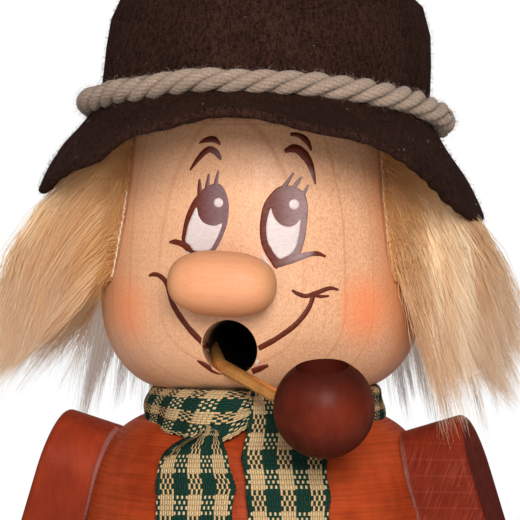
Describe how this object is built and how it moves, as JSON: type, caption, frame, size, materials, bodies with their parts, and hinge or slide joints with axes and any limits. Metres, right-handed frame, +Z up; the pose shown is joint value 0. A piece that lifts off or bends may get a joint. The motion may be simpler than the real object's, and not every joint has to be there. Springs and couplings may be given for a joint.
{
  "type": "incense smoker figure",
  "caption": "Turned wooden dwarf incense smoker with felt hat, fur hair, scarf and pipe; the upper half lifts and turns on a spigot ring over the incense plate.",
  "frame": {"origin": "centre of the underside of the round base plate", "axes": "+Z up along the turned axis, -Y towards the face, +X towards the figure's left arm"},
  "size_m": [0.1222, 0.1141, 0.2521],
  "materials": {
    "pale_wood": "clear matt lacquer over turned maple",
    "red_stained_wood": "red-brown stain under satin lacquer",
    "dark_red_wood": "dark red-brown gloss lacquer",
    "trouser_wood": "dark brown stain under satin lacquer",
    "shoe_wood": "black-brown gloss lacquer",
    "beech": "plain turned beech",
    "brass": "drawn brass wire, dull",
    "steel": "zinc-plated screw",
    "felt": "dark brown wool felt",
    "rope": "three-strand twisted cotton rope",
    "hair": "blond long-pile fur",
    "backing": "woven fur backing",
    "gingham": "green and cream woven gingham ribbon"
  },
  "bodies": {
    "lower": {"base_plate": "beech", "base_screws": "steel", "left_shoe": "shoe_wood", "right_shoe": "shoe_wood", "left_leg": "trouser_wood", "right_leg": "trouser_wood", "lower_body": "trouser_wood", "incense_plate": "brass", "plate_tacks": "brass"},
    "spigot": {"spigot_ring": "beech"},
    "upper": {"torso": "red_stained_wood", "neck_tube": "beech", "left_arm": "red_stained_wood", "right_arm": "red_stained_wood", "arm_dowels": "beech", "left_hand": "pale_wood", "right_hand": "pale_wood", "hand_pins": "beech", "head": "pale_wood", "nose": "pale_wood", "nose_pin": "beech", "pipe_stem": "brass", "pipe_bowl": "dark_red_wood", "felt_hat": "felt", "hat_rope": "rope", "hair_backing": "backing", "left_hair": "hair", "right_hair": "hair", "back_hair": "hair", "scarf": "gingham"}
  },
  "joints": [
    {"name": "torso_turn", "type": "hinge", "parent": "lower", "child": "spigot", "pos_m": [0, 0, 0.088], "axis": [0, 0, 1], "continuous": true},
    {"name": "torso_lift", "type": "slide", "parent": "spigot", "child": "upper", "axis": [0, 0, 1], "range_m": [0, 0.08]}
  ]
}
